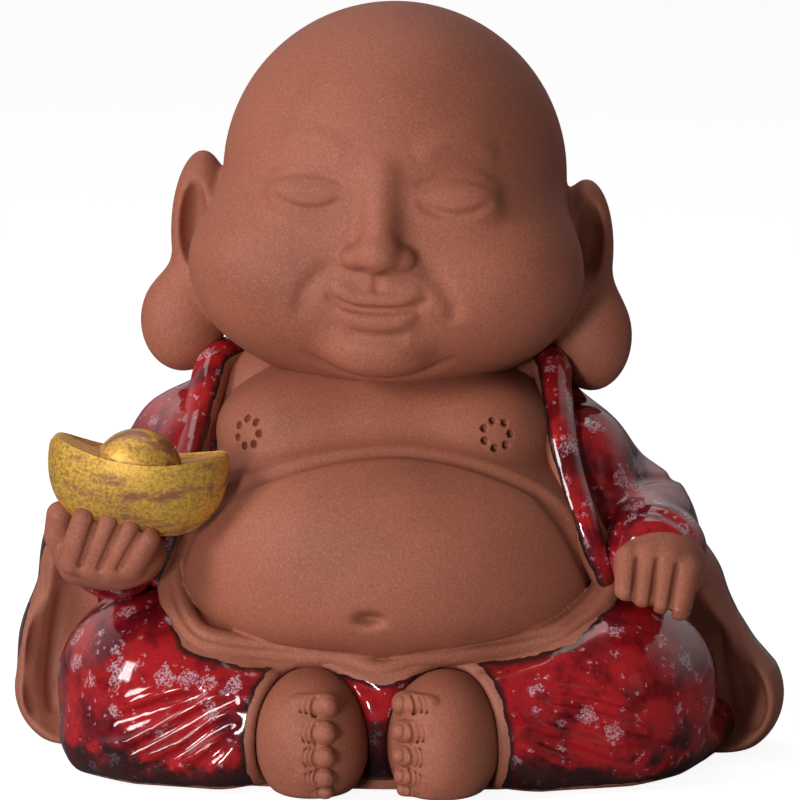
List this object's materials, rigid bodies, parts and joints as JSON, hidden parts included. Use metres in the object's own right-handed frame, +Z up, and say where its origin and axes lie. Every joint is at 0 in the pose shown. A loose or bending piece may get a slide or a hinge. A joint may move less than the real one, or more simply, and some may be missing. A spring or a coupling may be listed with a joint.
{
  "type": "laughing buddha tea pet",
  "caption": "Small seated laughing figure in bare and red-glazed fired clay, holding a gold ingot; a tea tray ornament that rests on its flat base.",
  "frame": {"origin": "on the resting plane, under the middle of the neck", "axes": "+Z up, the figure faces -Y, and its own left side is at +X"},
  "size_m": [0.0984, 0.0644, 0.0954],
  "materials": {
    "fired_clay": "matte unglazed stoneware with fine grain",
    "red_glaze": "glossy mottled red glaze with pale speckles",
    "gold_paint": "brushed gold paint over clay"
  },
  "bodies": {
    "root": {"base_plate": "fired_clay", "torso_front": "fired_clay", "torso_back": "red_glaze", "neck_collar": "fired_clay", "head_front": "fired_clay", "head_back": "fired_clay", "left_ear": "fired_clay", "right_ear": "fired_clay", "left_lapel": "red_glaze", "right_lapel": "red_glaze", "left_sleeve": "red_glaze", "right_sleeve": "red_glaze", "left_sleeve_drape": "red_glaze", "right_sleeve_drape": "red_glaze", "left_hand": "fired_clay", "right_hand": "fired_clay", "left_trouser_leg": "red_glaze", "right_trouser_leg": "red_glaze", "trouser_front": "red_glaze", "left_foot": "fired_clay", "right_foot": "fired_clay", "ingot_boat": "gold_paint", "ingot_dome": "gold_paint"}
  },
  "joints": []
}
